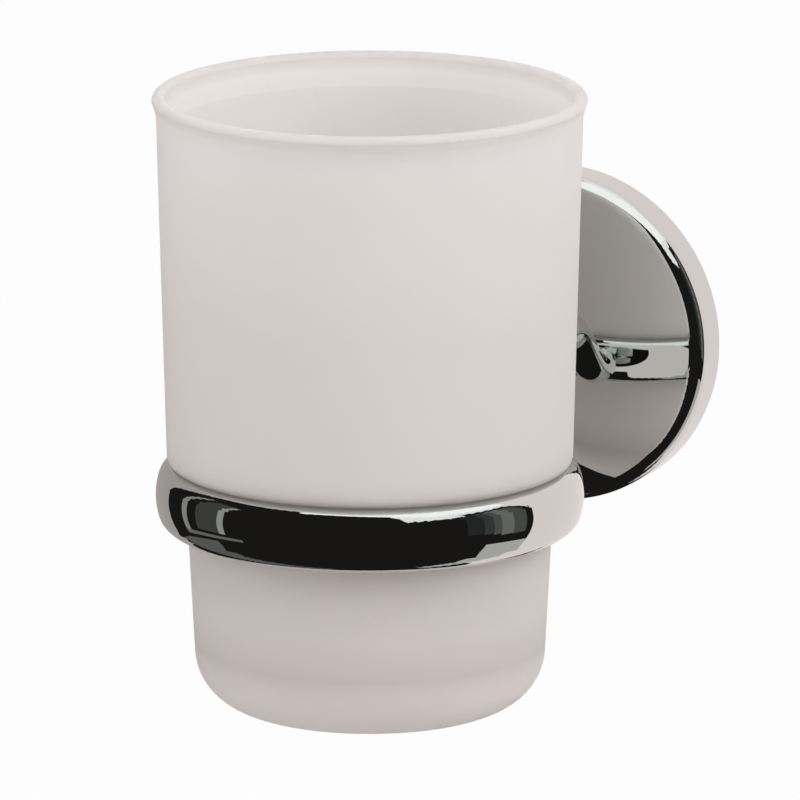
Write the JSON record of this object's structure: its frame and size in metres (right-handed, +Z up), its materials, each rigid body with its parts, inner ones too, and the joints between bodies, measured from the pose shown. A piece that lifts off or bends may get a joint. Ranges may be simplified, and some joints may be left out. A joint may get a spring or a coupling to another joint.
{
  "type": "wall-mounted bathroom tumbler",
  "caption": "Satin glass tumbler with a stepped body and flared lip, hung by its shoulder in a round-faced chrome ring on a cranked arm from a domed wall rose.",
  "frame": {"origin": "middle of the rose on the face of the wall, between the two wall fixings", "axes": "+Z up, +Y into the wall, +X to the right as seen from the room"},
  "size_m": [0.068, 0.1298, 0.0981],
  "materials": {
    "satin_glass": "satin frosted inside and out, nothing shows through it",
    "chrome": "polished chrome plate on brass and zinc",
    "bracket_zinc": "dull zinc casting",
    "screw_steel": "zinc plated steel"
  },
  "bodies": {
    "holder": {"holder_ring": "chrome", "arm": "chrome", "rose": "chrome", "wall_bracket": "bracket_zinc", "arm_screw": "screw_steel", "lock_washer": "screw_steel", "grub_screw": "screw_steel", "wall_screws": "screw_steel"},
    "glass": {"tumbler": "satin_glass"}
  },
  "joints": [
    {"name": "tumbler_lift", "type": "slide", "parent": "holder", "child": "glass", "axis": [0, 0, 1], "range_m": [0, 0.06]}
  ]
}
